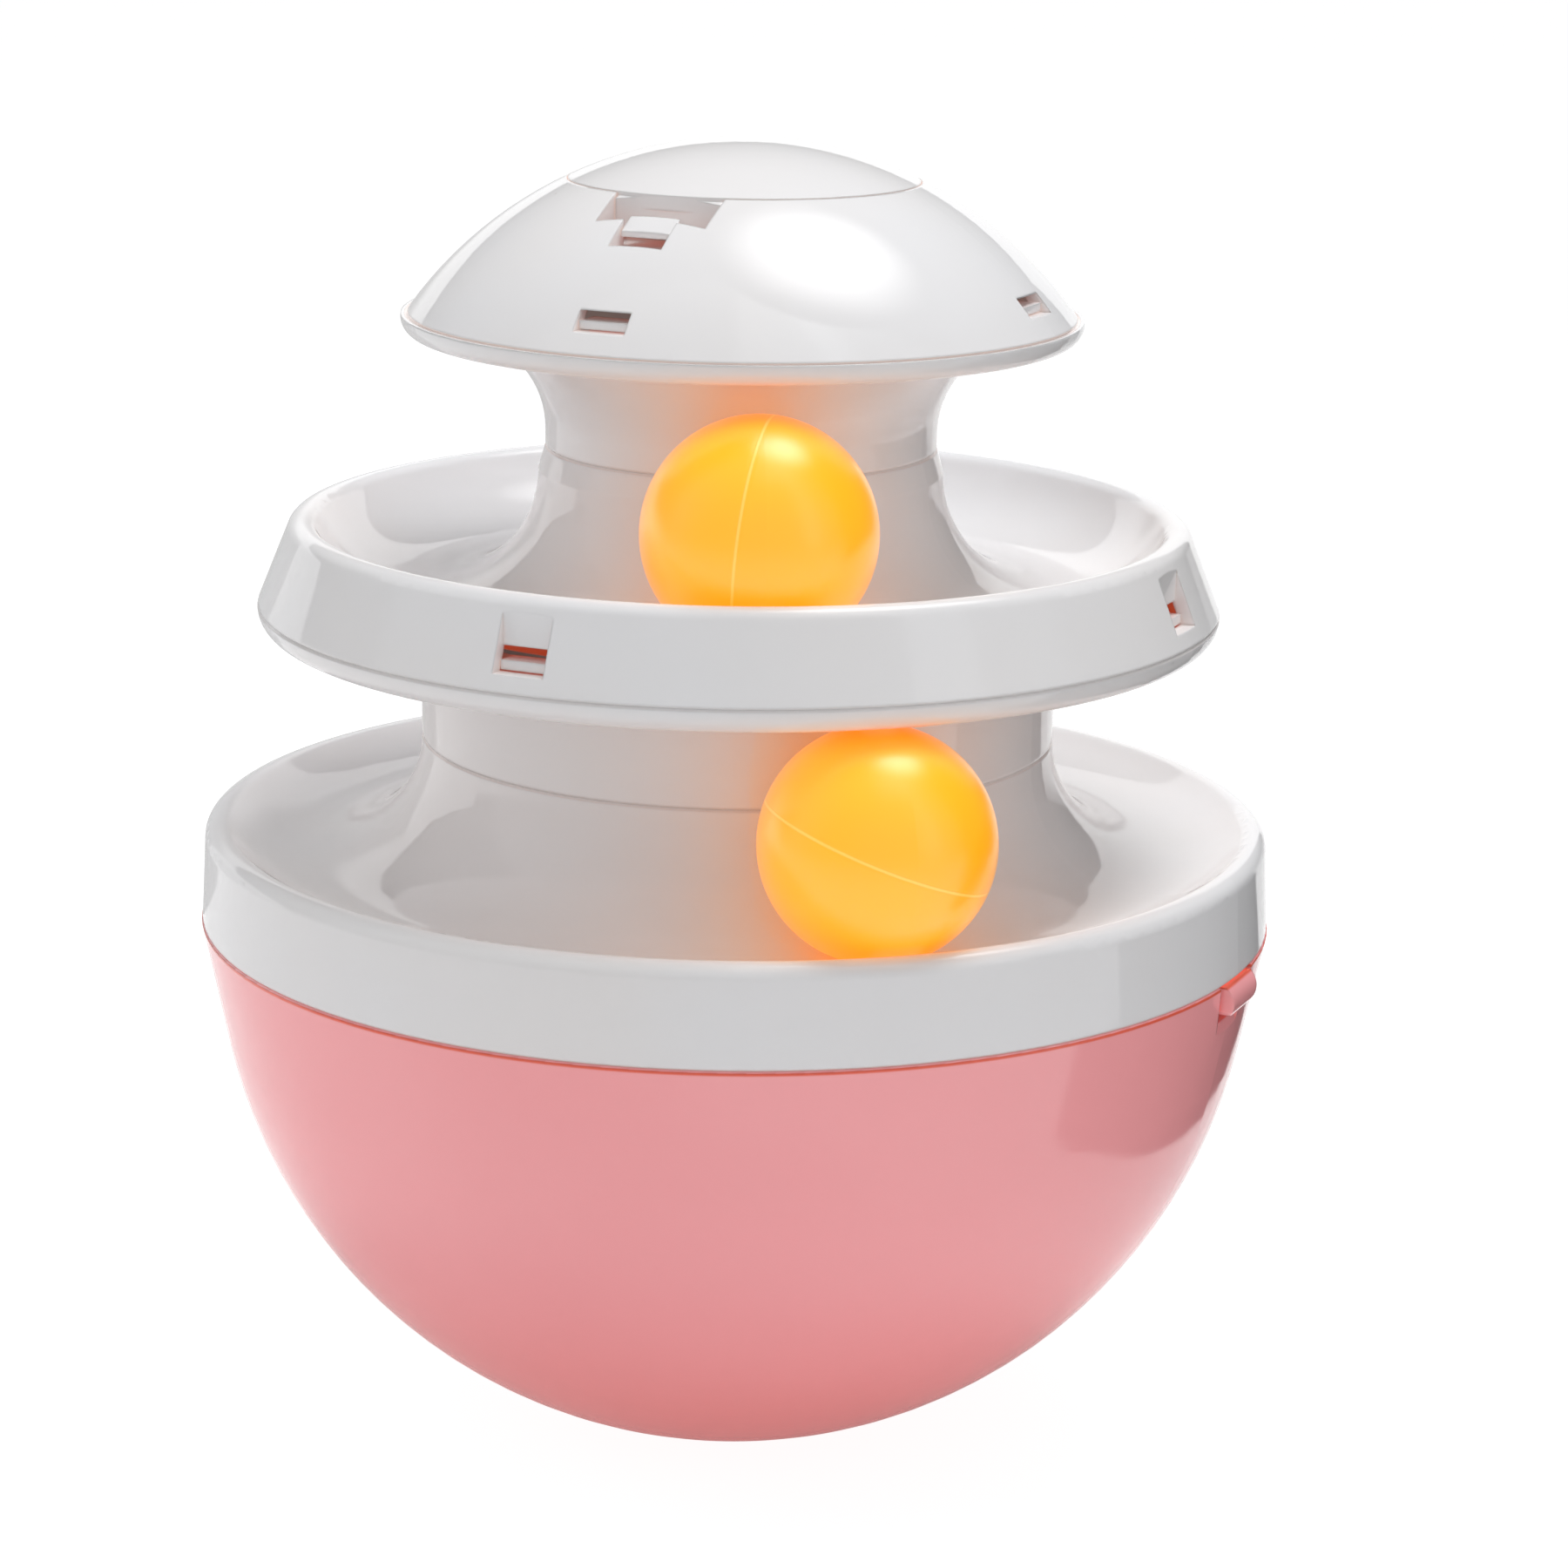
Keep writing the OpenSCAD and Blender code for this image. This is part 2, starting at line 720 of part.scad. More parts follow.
module hopper_dome() {
    color([0.95, 0.95, 0.96])
    difference() {
        union() {
            rotate_extrude()
                dome_shell_2d();
            intersection() {
                notch_box(1.5);
                rotate_extrude()
                    intersection() {
                        translate([0, dome_cz])
                            circle(r = dome_r - 0.4);
                        translate([ledge_r, 0])
                            square([dome_r, dome_r * 10]);
                    }
                translate([-dome_r, -2 * dome_r, 0])
                    cube([2 * dome_r, 2 * dome_r, ledge_z]);
            }
            for (s = [-1, 1])
                translate([s * (knuckle + slide_gap + ear / 2) - ear / 2, 0, 0]) {
                    translate([0, hinge_y, hinge_z])
                        rotate([0, 90, 0])
                            cylinder(r = barrel_r, h = ear);
                    translate([0, hinge_y - barrel_r, dome_in_at(hinge_y) + 0.6])
                        cube([ear, 2 * barrel_r, hinge_z - dome_in_at(hinge_y) - 0.6]);
                }
        }
        notch_box(0);
        for (a = [0 : 90 : 270])
            rotate([0, 0, a])
                translate([hook2_x - 4, -win2_w / 2, win2_z])
                    cube([20, win2_w, win2_top - win2_z]);
        translate([-knuckle - slide_gap, hinge_y, hinge_z])
            rotate([0, 90, 0])
                cylinder(r = barrel_r + 0.4, h = 2 * (knuckle + slide_gap));
        translate([-knuckle - slide_gap, lid_hole_r - 1.5, hinge_z - 0.6 - slide_gap])
            cube([2 * (knuckle + slide_gap), hinge_y - lid_hole_r + 1.5, dome_r]);
        translate([-hinge_l / 2 - 1, hinge_y, hinge_z])
            rotate([0, 90, 0])
                cylinder(r = pin_r + 0.03, h = hinge_l + 2);
    }
}

module hopper_lid() {
    color([0.95, 0.95, 0.96])
    difference() {
        union() {
            rotate_extrude()
                intersection() {
                    translate([0, dome_cz])
                        difference() {
                            circle(r = dome_r);
                            circle(r = dome_ir);
                        }
                    translate([0, dome_z])
                        square([lid_r, dome_r]);
                }
            intersection() {
                translate([-notch_w / 2 + slide_gap, -lid_front, plate_z - 0.4])
                    cube([notch_w - 2 * slide_gap, 2, 40]);
                translate([0, 0, dome_cz])
                    sphere(r = dome_r - 0.5);
            }
            translate([-knuckle, lid_r - 1.2, hinge_z - 0.6])
                cube([2 * knuckle, hinge_y - lid_r + 1.2, 1.6]);
            translate([-knuckle, hinge_y, hinge_z])
                rotate([0, 90, 0])
                    cylinder(r = barrel_r, h = 2 * knuckle);
        }
        translate([-knuckle - 1, hinge_y, hinge_z])
            rotate([0, 90, 0])
                cylinder(r = pin_r + pin_clear, h = 2 * knuckle + 2);
        translate([-catch_w / 2 - slide_gap, -lid_front - 1, plate_z - slide_gap])
            cube([catch_w + 2 * slide_gap, 5, plate_t + slide_gap + plate_lift]);
    }
}

module lid_catch() {
    reach = notch_y + 1.4;
    back = notch_y - 2;
    color([0.94, 0.94, 0.94])
    union() {
        translate([-catch_w / 2, -back - 0.6, plate_z])
            cube([catch_w, back + 0.6 - lid_front + 6, plate_t]);
        translate([-catch_w / 2 - 1.5, -lid_front + 2 + slide_gap, plate_z])
            cube([catch_w + 3, 1.6, plate_t]);
        intersection() {
            translate([-catch_w / 2, -reach, plate_z])
                cube([catch_w, reach - back, 10]);
            translate([0, 0, dome_cz])
                sphere(r = dome_r - 0.8);
        }
    }
}

module lid_pin() {
    color([0.75, 0.76, 0.78])
    translate([-hinge_l / 2, hinge_y, hinge_z])
        rotate([0, 90, 0])
            cylinder(r = pin_r, h = hinge_l);
}

// Hollow ball in its track
module track_ball(orbit, floor_z, az) {
    rotate([0, 0, az])
        translate([orbit, 0, floor_z + ball_gap + ball_r])
            difference() {
                sphere(r = ball_r);
                sphere(r = ball_r - ball_wall);
            }
}

module lower_ball() {
    color([1, 0.72, 0.2])
    track_ball(lower_orbit, lower_floor_z, lower_ball_az);
}

module upper_ball() {
    color([1, 0.72, 0.2])
    track_ball(upper_orbit, upper_floor_z, upper_ball_az);
}

bowl();
counterweight();
weight_washer();
weight_screw();
treat_floor();
floor_screws();
treat_door();
door_pin();
lower_track();
lower_neck();
lower_neck_screws();
upper_track();
hopper_pan();
upper_neck_screws();
hopper_dome();
hopper_lid();
lid_catch();
lid_pin();
lower_ball();
upper_ball();
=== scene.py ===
import math

import bmesh
import bpy
from bpy.props import FloatProperty, FloatVectorProperty, PointerProperty
from bpy.types import Operator, Panel, PropertyGroup
from mathutils import Matrix, Vector


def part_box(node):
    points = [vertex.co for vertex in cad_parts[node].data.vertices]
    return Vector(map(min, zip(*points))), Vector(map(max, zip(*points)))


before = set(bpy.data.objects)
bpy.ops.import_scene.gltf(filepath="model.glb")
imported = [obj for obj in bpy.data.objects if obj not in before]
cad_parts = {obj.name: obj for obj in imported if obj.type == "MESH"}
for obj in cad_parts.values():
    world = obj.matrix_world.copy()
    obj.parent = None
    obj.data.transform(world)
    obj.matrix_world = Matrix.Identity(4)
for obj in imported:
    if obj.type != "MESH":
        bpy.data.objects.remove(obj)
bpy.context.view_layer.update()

bl_info = {
    "name": "Roly-poly treat toy",
    "version": (1, 0, 0),
    "blender": (4, 5, 0),
    "location": "View3D > Sidebar > Treat toy",
    "description": "Finishes, studio stage and camera of a weighted treat toy with two ball tracks",
    "category": "Object",
}

# Nodes that share a finish
TRACKS = ("lower_track", "upper_track")
NECKS = ("lower_neck", "hopper_pan", "treat_floor")
HOPPER = ("hopper_dome", "hopper_lid", "lid_catch")
BOWL = ("bowl", "treat_door")
BALLS = ("lower_ball", "upper_ball")
FASTENERS = ("weight_washer", "weight_screw", "floor_screws", "door_pin", "lower_neck_screws",
             "upper_neck_screws", "lid_pin")

UP = Vector((0.0, 0.0, 1.0))
BLACK = (0.0, 0.0, 0.0)
WHITE = (1.0, 1.0, 1.0)

# Moulded plastic: how open a place is where each mask starts and ends, rounded corners and bump
SEAM_REACH, SEAM_OPEN = 0.0012, (0.25, 0.72)
WALL_REACH, HOLLOW_OPEN, SHELTER_OPEN = 0.04, (0.02, 0.12), (0.2, 0.8)
HALF_OPEN_FROM, HALF_OPEN_TO = (0.15, 0.35), (0.45, 0.85)
# Share of the seam colour that goes into seams as painted shade
SEAM_SHARE = 0.75
# Painted shade: warm tint of sheltered, half-closed-in places
PAINTED_SHELTER_SHADE = (1.0, 0.93, 0.90)
EDGE_RADIUS, BUMP_STRENGTH, BUMP_DEPTH = 0.0006, 0.25, 0.0004
PLASTIC_IOR = 1.53

# White shells: painted glow in seams, hollows and half-open walls, standing in for light that passes through
# them
SHELL_DRIFT = (1.0, 0.985, 0.97)
SHELL_SMUDGE = 0.04
SHELL_SEAM_GLOW = (0.25, 0.212, 0.2)
SHELL_HOLLOW_GLOW = (0.10, 0.012, 0.004)
SHELL_WALL_GLOW = (0.05, 0.040, 0.036)

# Pink bowl: painted shade as a deeper pink towards the foot, and a red line of painted seam shade that
# starts, is full, thins and ends at depths below the lip
BOWL_DRIFT = (0.985, 0.95, 0.95)
BOWL_SMUDGE = 0.06
# Painted seam shade on the bowl, and the red line under the lip; also the colour of the bowl's dust specks
BOWL_SEAM_SHADE_AND_SPECK = (0.85, 0.13, 0.075)
# Painted glow in the bowl's seams and hollows
BOWL_SEAM_GLOW = (0.34, 0.04, 0.022)
BOWL_HOLLOW_GLOW = (0.06, 0.008, 0.006)
BOWL_FOOT_SHADE, FOOT_HEIGHT = (1.0, 0.29, 0.28), 0.06
LIP_LINE_START, LIP_LINE_END = (0.0009, 0.0005), (0.0003, 0.0001)

# Orange balls: painted glow standing in for light through the walls, deeper orange at the top as painted
# shade, and parting lines with their relief and the way across
BALL_GLOW, BALL_TOP_GLOW, BALL_TOP_SHARE = (1.0, 0.38, 0.006), (1.0, 0.24, 0.0), 0.12
BALL_SMUDGE = 0.06
BALL_LINE, BALL_LINE_HALF_WIDTH, BALL_LINE_SHARE = (1.0, 0.62, 0.16), 0.00034, 0.75
BALL_RIDGE, BALL_BANK, BALL_SKIN = 0.35, 0.12, 0.25
BALL_BUMP_STRENGTH, BALL_BUMP_DEPTH = 0.5, 0.0005
BALL_LINE_ACROSS = {"lower_ball": (0.3044, 0.2023, 0.9308), "upper_ball": (0.968, 0.2321, -0.0954)}

# Stage, in metres and degrees. Bearings go from the camera's side towards its right. An edge is a bearing
# with the places along it where a soft step starts and ends.
LIGHT_AIM = Vector((0.0, 0.0, 0.17))
FLOOR_RADIUS, FLOOR_DROP = 4.0, 0.0002
FLOOR_PAPER, FLOOR_DARK, FLOOR_LIFT = (0.78, 0.78, 0.78), (0.02, 0.02, 0.02), 0.14
FLOOR_SEEN_GLOW, FLOOR_SEEN_PAPER = 0.945, (0.16, 0.16, 0.16, 1.0)
FLOOR_EDGES = ((90.0, 0.152, 0.158), (180.0, -0.090, -0.082), (49.0, -0.004, 0.004))
ROOM_LEFT, ROOM_LEFT_SOFT = ((-107.0, 13.0), (-128.0, 38.0)), 0.02
ROOM_FRONT = (-5.0, -0.06, 0.06)
STRIP_EDGES = ((133.0, 0.0, 0.012), (-26.0, 0.0, 0.08))
CEILING_EDGE, CEILING_RISE = (90.0, -0.035, -0.015), (0.80, 0.94)
SHEET_GAP = 0.30
SHEET_OUTLINE = ((-1.2, 0.0), (0.205, 0.0), (0.205, 0.29), (-0.24, 0.29), (-0.45, 0.222), (-0.78, 0.205),
                 (-1.2, 0.19))
SHEET_DIM_SHARE = 0.42
SHEET_DIM_LEFT, SHEET_DIM_RIGHT, SHEET_DIM_TOP = (-0.305, -0.297), (-0.06, 0.0), (0.205, 0.235)
FACE_BEARING, FACE_RISE, FACE_GAP, FACE_RADIUS, FACE_FADE = 122.0, 72.0, 1.0, 0.43, (0.10, 0.42)

# Soft lights: name, bearing, rise, distance, width, and the property with the glow
SOFT_LIGHTS = (
    ("soft_box_overhead", 123.0, 75.0, 1.0, 0.56, "key_glow"),
    ("back_light", 180.0, 45.0, 1.0, 1.0, "back_glow"),
    ("side_panel", -80.0, 35.0, 1.2, 1.2, "side_glow"),
    ("low_left_light", -100.0, 12.0, 1.2, 1.0, "low_glow"),
    ("low_right_light", 52.0, 12.0, 1.3, 1.0, "right_glow"),
    ("fill_sheet", 5.0, 18.0, 1.5, 1.6, "fill_glow"),
)


class ToyFinish(PropertyGroup):
    """Colours and gloss of the toy's plastics"""

    shell_colour: FloatVectorProperty(
        name="Shell white", description="Colour of the tracks, necks and hopper",
        subtype="COLOR", size=3, min=0.0, max=1.0, default=(0.79, 0.79, 0.805))
    shell_gloss: FloatProperty(
        name="Shell roughness", description="Roughness of the white shells",
        subtype="FACTOR", min=0.0, max=1.0, default=0.05)
    bowl_colour: FloatVectorProperty(
        name="Bowl pink", description="Colour of the bowl and its treat door",
        subtype="COLOR", size=3, min=0.0, max=1.0, default=(0.97, 0.395, 0.415))
    lip_height: FloatProperty(
        name="Lip height", description="Height of the seam between the bowl and the white band",
        unit="LENGTH", subtype="DISTANCE", min=0.0, default=0.092)
    bowl_gloss: FloatProperty(
        name="Bowl roughness", description="Roughness of the bowl",
        subtype="FACTOR", min=0.0, max=1.0, default=0.09)
    ball_colour: FloatVectorProperty(
        name="Ball orange", description="Colour of both balls",
        subtype="COLOR", size=3, min=0.0, max=1.0, default=(1.0, 0.36, 0.004))
    ball_gloss: FloatProperty(
        name="Ball roughness", description="Roughness of the balls",
        subtype="FACTOR", min=0.0, max=1.0, default=0.37)
    # Painted light: strength of the glow that stands in for light through the thin ball walls
    ball_glow: FloatProperty(
        name="Ball glow", description="Light that the thin ball walls pass on from inside",
        min=0.0, default=0.62)
    # Painted shade: colour that seams, slots and inner corners darken towards; also the colour of the stray
    # dust specks
    seam_tint: FloatVectorProperty(
        name="Seam shade", description="Colour that gathers in seams and slots",
        subtype="COLOR", size=3, min=0.0, max=1.0, default=(0.46, 0.36, 0.31))


class ToyStage(PropertyGroup):
    """Camera and light of the studio picture"""

    turn: FloatProperty(
        name="Turn", description="Heading of the camera round the toy, from the lid catch",
        subtype="ANGLE", default=math.radians(25.0))
    reach: FloatProperty(
        name="Distance", description="Distance of the camera from the tower's axis",
        unit="LENGTH", subtype="DISTANCE", min=0.1, default=0.70192)
    height: FloatProperty(
        name="Height", description="Height of the camera above the floor",
        unit="LENGTH", subtype="DISTANCE", default=0.296836)
    pitch: FloatProperty(
        name="Pitch", description="How far the camera looks down",
        subtype="ANGLE", default=0.255133)
    yaw: FloatProperty(
        name="Yaw", description="How far the camera looks to the right of the axis",
        subtype="ANGLE", default=0.0116334)
    roll: FloatProperty(
        name="Roll", description="Clockwise lean of the picture",
        subtype="ANGLE", default=0.0156736)
    lens: FloatProperty(
        name="Lens", description="Focal length on a 36 mm sensor",
        unit="CAMERA", min=10.0, default=96.0)
    key_glow: FloatProperty(
        name="Key glow", description="Light that the soft box overhead gives",
        min=0.0, default=9.7)
    face_glow: FloatProperty(
        name="Face glow", description="Brightness of the soft box overhead as the toy mirrors it",
        min=0.0, default=5.0)
    back_glow: FloatProperty(
        name="Back glow", description="Light that comes over the sheet behind the toy",
        min=0.0, default=0.8)
    side_glow: FloatProperty(
        name="Side glow", description="Light of the pale panel on the left",
        min=0.0, default=0.36)
    right_glow: FloatProperty(
        name="Right glow", description="Light that comes in low from the right of the camera",
        min=0.0, default=0.2)
    low_glow: FloatProperty(
        name="Low glow", description="Light that comes in low from the left",
        min=0.0, default=1.0)
    fill_glow: FloatProperty(
        name="Fill glow", description="Light of the large sheet beside the camera",
        min=0.0, default=0.3)
    air_glow: FloatProperty(
        name="Room glow", description="Brightness of the pale room in front of the toy",
        min=0.0, default=0.42)
    strip_glow: FloatProperty(
        name="Strip glow", description="Brightness that the upright panel on the right adds to the room",
        min=0.0, default=0.6)
    ceiling_glow: FloatProperty(
        name="Ceiling glow", description="Brightness that the pale ceiling on the right adds to the room",
        min=0.0, default=0.6)
    sheet_glow: FloatProperty(
        name="Sheet glow", description="Brightness of the sheet behind the toy",
        min=0.0, default=1.05)
    shade_glow: FloatProperty(
        name="Shade glow", description="Brightness of the dim gaps on the right and the far left",
        min=0.0, default=0.09)


def add(tree, kind, **sockets):
    """New node, with its unlinked sockets set by name."""
    made = tree.nodes.new(kind)
    for name, value in sockets.items():
        made.inputs[name.replace("_", " ")].default_value = value
    return made


def math_node(tree, operation, first, second=None, third=None):
    """Math node fed by sockets or plain numbers."""
    made = tree.nodes.new("ShaderNodeMath")
    made.operation = operation
    for slot, value in enumerate((first, second, third)):
        if value is None:
            continue
        if isinstance(value, (int, float)):
            made.inputs[slot].default_value = value
        else:
            tree.links.new(value, made.inputs[slot])
    return made.outputs[0]


def smooth_step(tree, value, low, high, to_low=0.0, to_high=1.0):
    """Smooth ramp of a socket between two values."""
    made = tree.nodes.new("ShaderNodeMapRange")
    made.interpolation_type = "SMOOTHSTEP"
    tree.links.new(value, made.inputs["Value"])
    made.inputs["From Min"].default_value = low
    made.inputs["From Max"].default_value = high
    made.inputs["To Min"].default_value = to_low
    made.inputs["To Max"].default_value = to_high
    return made.outputs["Result"]


def mix_colour(tree, factor, first, second):
    """Colour mix fed by sockets or plain colours."""
    made = tree.nodes.new("ShaderNodeMix")
    made.data_type = "RGBA"
    tree.links.new(factor, made.inputs["Factor"])
    colours = [socket for socket in made.inputs if socket.type == "RGBA"]
    for socket, value in zip(colours, (first, second)):
        if isinstance(value, tuple):
            socket.default_value = (*value, 1.0)
        else:
            tree.links.new(value, socket)
    return next(socket for socket in made.outputs if socket.type == "RGBA")


def towards(tree, way, direction):
    """How far a point or direction socket reaches along a fixed direction."""
    made = tree.nodes.new("ShaderNodeVectorMath")
    made.operation = "DOT_PRODUCT"
    tree.links.new(way, made.inputs[0])
    made.inputs[1].default_value = direction
    return made.outputs["Value"]


def new_group(name, inputs, outputs):
    """Empty shader node group with named sockets."""
    tree = bpy.data.node_groups.new(name, "ShaderNodeTree")
    for label, kind, default in inputs:
        socket = tree.interface.new_socket(label, in_out="INPUT", socket_type=kind)
        if default is not None:
            socket.default_value = default
    for label, kind in outputs:
        tree.interface.new_socket(label, in_out="OUTPUT", socket_type=kind)
    return tree, tree.nodes.new("NodeGroupInput"), tree.nodes.new("NodeGroupOutput")


def moulded_surface():
    """Group: flow ripple, skin grain, smudges, tone drift and stray dust of moulded plastic."""
    tree, given, result = new_group(
        "moulded_surface",
        [("Point", "NodeSocketVector", None), ("Gloss", "NodeSocketFloat", 0.2),
         ("Smudge", "NodeSocketFloat", 0.05), ("Dust", "NodeSocketFloat", 0.3)],
        [("Height", "NodeSocketFloat"), ("Roughness", "NodeSocketFloat"),
         ("Tone", "NodeSocketFloat"), ("Speck", "NodeSocketFloat")])
    point = given.outputs["Point"]
    ripple = add(tree, "ShaderNodeTexNoise", Scale=55.0, Detail=1.0, Roughness=0.4)
    grain = add(tree, "ShaderNodeTexNoise", Scale=900.0, Detail=2.0, Roughness=0.5)
    film = add(tree, "ShaderNodeTexNoise", Scale=38.0, Detail=4.0, Roughness=0.6, Distortion=0.6)
    drift = add(tree, "ShaderNodeTexNoise", Scale=16.0, Detail=2.0, Roughness=0.5)
    dust = add(tree, "ShaderNodeTexVoronoi", Scale=42.0, Randomness=1.0)
    for texture in (ripple, grain, film, drift, dust):
        tree.links.new(point, texture.inputs["Vector"])
    fine = math_node(tree, "MULTIPLY", grain.outputs[0], 0.06)
    tree.links.new(math_node(tree, "ADD", ripple.outputs[0], fine), result.inputs["Height"])
    swing = math_node(tree, "SUBTRACT", film.outputs[0], 0.5)
    swing = math_node(tree, "MULTIPLY", swing, given.outputs["Smudge"])
    tree.links.new(math_node(tree, "ADD", swing, given.outputs["Gloss"]), result.inputs["Roughness"])
    tree.links.new(smooth_step(tree, drift.outputs[0], 0.35, 0.65), result.inputs["Tone"])
    near = smooth_step(tree, dust.outputs["Distance"], 0.010, 0.022, 1.0, 0.0)
    share = tree.nodes.new("ShaderNodeSeparateColor")
    tree.links.new(dust.outputs["Color"], share.inputs[0])
    few = math_node(tree, "LESS_THAN", share.outputs[0], 0.10)
    speck = math_node(tree, "MULTIPLY", near, few)
    tree.links.new(math_node(tree, "MULTIPLY", speck, given.outputs["Dust"]), result.inputs["Speck"])
    return tree


def seam_shade():
    """Group: mask of narrow seams, slots and inner corners, where painted shade and painted glow go."""
    tree, given, result = new_group(
        "seam_shade", [("Reach", "NodeSocketFloat", SEAM_REACH)], [("Mask", "NodeSocketFloat")])
    open_sky = tree.nodes.new("ShaderNodeAmbientOcclusion")
    open_sky.samples = 8
    tree.links.new(given.outputs["Reach"], open_sky.inputs["Distance"])
    tree.links.new(smooth_step(tree, open_sky.outputs["AO"], *SEAM_OPEN, 1.0, 0.0), result.inputs["Mask"])
    return tree


def wall_glow():
    """Group: masks of closed hollows, of sheltered places and of half-open walls between them."""
    tree, given, result = new_group(
        "wall_glow", [("Reach", "NodeSocketFloat", WALL_REACH)],
        [("Hollow", "NodeSocketFloat"), ("Shelter", "NodeSocketFloat"), ("Half Open", "NodeSocketFloat")])
    open_sky = tree.nodes.new("ShaderNodeAmbientOcclusion")
    open_sky.samples = 6
    tree.links.new(given.outputs["Reach"], open_sky.inputs["Distance"])
    sky = open_sky.outputs["AO"]
    tree.links.new(smooth_step(tree, sky, *HOLLOW_OPEN, 1.0, 0.0), result.inputs["Hollow"])
    tree.links.new(smooth_step(tree, sky, *SHELTER_OPEN, 1.0, 0.0), result.inputs["Shelter"])
    half = math_node(tree, "MULTIPLY", smooth_step(tree, sky, *HALF_OPEN_FROM),
                     smooth_step(tree, sky, *HALF_OPEN_TO, 1.0, 0.0))
    tree.links.new(half, result.inputs["Half Open"])
    return tree


def mould_line():
    """Group: mask of the parting line round a ball."""
    tree, given, result = new_group(
        "mould_line",
        [("Point", "NodeSocketVector", None), ("Centre", "NodeSocketVector", None),
         ("Across", "NodeSocketVector", None), ("Half Width", "NodeSocketFloat", 0.0003)],
        [("Line", "NodeSocketFloat"), ("Bank", "NodeSocketFloat")])
    away = tree.nodes.new("ShaderNodeVectorMath")
    away.operation = "SUBTRACT"
    tree.links.new(given.outputs["Point"], away.inputs[0])
    tree.links.new(given.outputs["Centre"], away.inputs[1])
    side = tree.nodes.new("ShaderNodeVectorMath")
    side.operation = "DOT_PRODUCT"
    tree.links.new(away.outputs[0], side.inputs[0])
    tree.links.new(given.outputs["Across"], side.inputs[1])
    gap = math_node(tree, "ABSOLUTE", side.outputs["Value"])
    share = math_node(tree, "DIVIDE", gap, given.outputs["Half Width"])
    tree.links.new(smooth_step(tree, share, 0.3, 1.0, 1.0, 0.0), result.inputs["Line"])
    tree.links.new(smooth_step(tree, share, 0.8, 2.6, 1.0, 0.0), result.inputs["Bank"])
    return tree


def new_material(name, **sockets):
    """Material with one Principled BSDF, and its plain sockets set."""
    material = bpy.data.materials.new(name)
    material.use_nodes = True
    tree = material.node_tree
    tree.nodes.clear()
    shader = add(tree, "ShaderNodeBsdfPrincipled", **sockets)
    output = tree.nodes.new("ShaderNodeOutputMaterial")
    tree.links.new(shader.outputs[0], output.inputs["Surface"])
    return material, tree, shader


def place_group(tree, build, **sockets):
    """Group node in a material, built on its first use, with its plain sockets set."""
    made = tree.nodes.new("ShaderNodeGroup")
    made.node_tree = bpy.data.node_groups.get(build.__name__) or build()
    for name, value in sockets.items():
        made.inputs[name.replace("_", " ")].default_value = value
    return made


def soft_edges(tree, shader, height, radius, strength, depth):
    """Bump over corners that are rounded by the given radius."""
    corner = add(tree, "ShaderNodeBevel", Radius=radius)
    corner.samples = 6
    bump = add(tree, "ShaderNodeBump", Strength=strength, Distance=depth)
    tree.links.new(height, bump.inputs["Height"])
    tree.links.new(corner.outputs[0], bump.inputs["Normal"])
    tree.links.new(bump.outputs[0], shader.inputs["Normal"])


def tinted(colour, tint):
    """Colour times a tint."""
    return tuple(share * part for share, part in zip(colour, tint))


def moulded_plastic(name, colour, drift, seam, seam_light, hollow_light, wall_light, gloss, smudge, lip=None):
    """Moulded plastic with tone drift, painted shade in seams, painted glow standing in for light through its
    walls, smudges and rounded corners.

    With a lip height it also has painted shade: the bowl's deeper pink towards the foot and the red line of
    seam shade under the lip.
    """
    found = bpy.data.materials.get(name)
    if found:
        return found
    material, tree, shader = new_material(name, IOR=PLASTIC_IOR, Emission_Strength=1.0)
    point = tree.nodes.new("ShaderNodeTexCoord").outputs["Object"]
    skin = place_group(tree, moulded_surface, Gloss=gloss, Smudge=smudge)
    tree.links.new(point, skin.inputs["Point"])
    # Painted shade: seams, slots and inner corners darken towards the seam colour by how closed in they are
    painted_seam_shade = place_group(tree, seam_shade).outputs["Mask"]
    walls = place_group(tree, wall_glow)
    tone = mix_colour(tree, skin.outputs["Tone"], colour, tinted(colour, drift))
    # Painted shade: sheltered places are tinted warm
    tone = mix_colour(tree, walls.outputs["Shelter"], tone, tinted(colour, PAINTED_SHELTER_SHADE))
    if lip:
        rise = towards(tree, point, UP)
        # Painted shade: deeper pink towards the foot
        tone = mix_colour(tree, smooth_step(tree, rise, 0.0, FOOT_HEIGHT, 1.0, 0.0), tone, BOWL_FOOT_SHADE)
        # Painted shade: a red line of seam shade just under the lip
        begin, end = ([lip - depth for depth in depths] for depths in (LIP_LINE_START, LIP_LINE_END))
        under = smooth_step(tree, rise, *end, 1.0, 0.0)
        line = math_node(tree, "MULTIPLY", smooth_step(tree, rise, *begin), under)
        tone = mix_colour(tree, line, tone, seam)
        painted_seam_shade = math_node(tree, "MULTIPLY", painted_seam_shade, under)
    tone = mix_colour(tree, skin.outputs["Speck"], tone, seam)
    # Painted shade: darkening in seams, slots and inner corners
    tone = mix_colour(tree, math_node(tree, "MULTIPLY", painted_seam_shade, SEAM_SHARE), tone, seam)
    tree.links.new(tone, shader.inputs["Base Color"])
    # Painted light: a glow in half-open walls, closed hollows and seams
    glow = mix_colour(tree, walls.outputs["Half Open"], BLACK, wall_light)
    glow = mix_colour(tree, walls.outputs["Hollow"], glow, hollow_light)
    tree.links.new(mix_colour(tree, painted_seam_shade, glow, seam_light), shader.inputs["Emission Color"])
    tree.links.new(skin.outputs["Roughness"], shader.inputs["Roughness"])
    soft_edges(tree, shader, skin.outputs["Height"], EDGE_RADIUS, BUMP_STRENGTH, BUMP_DEPTH)
    return material


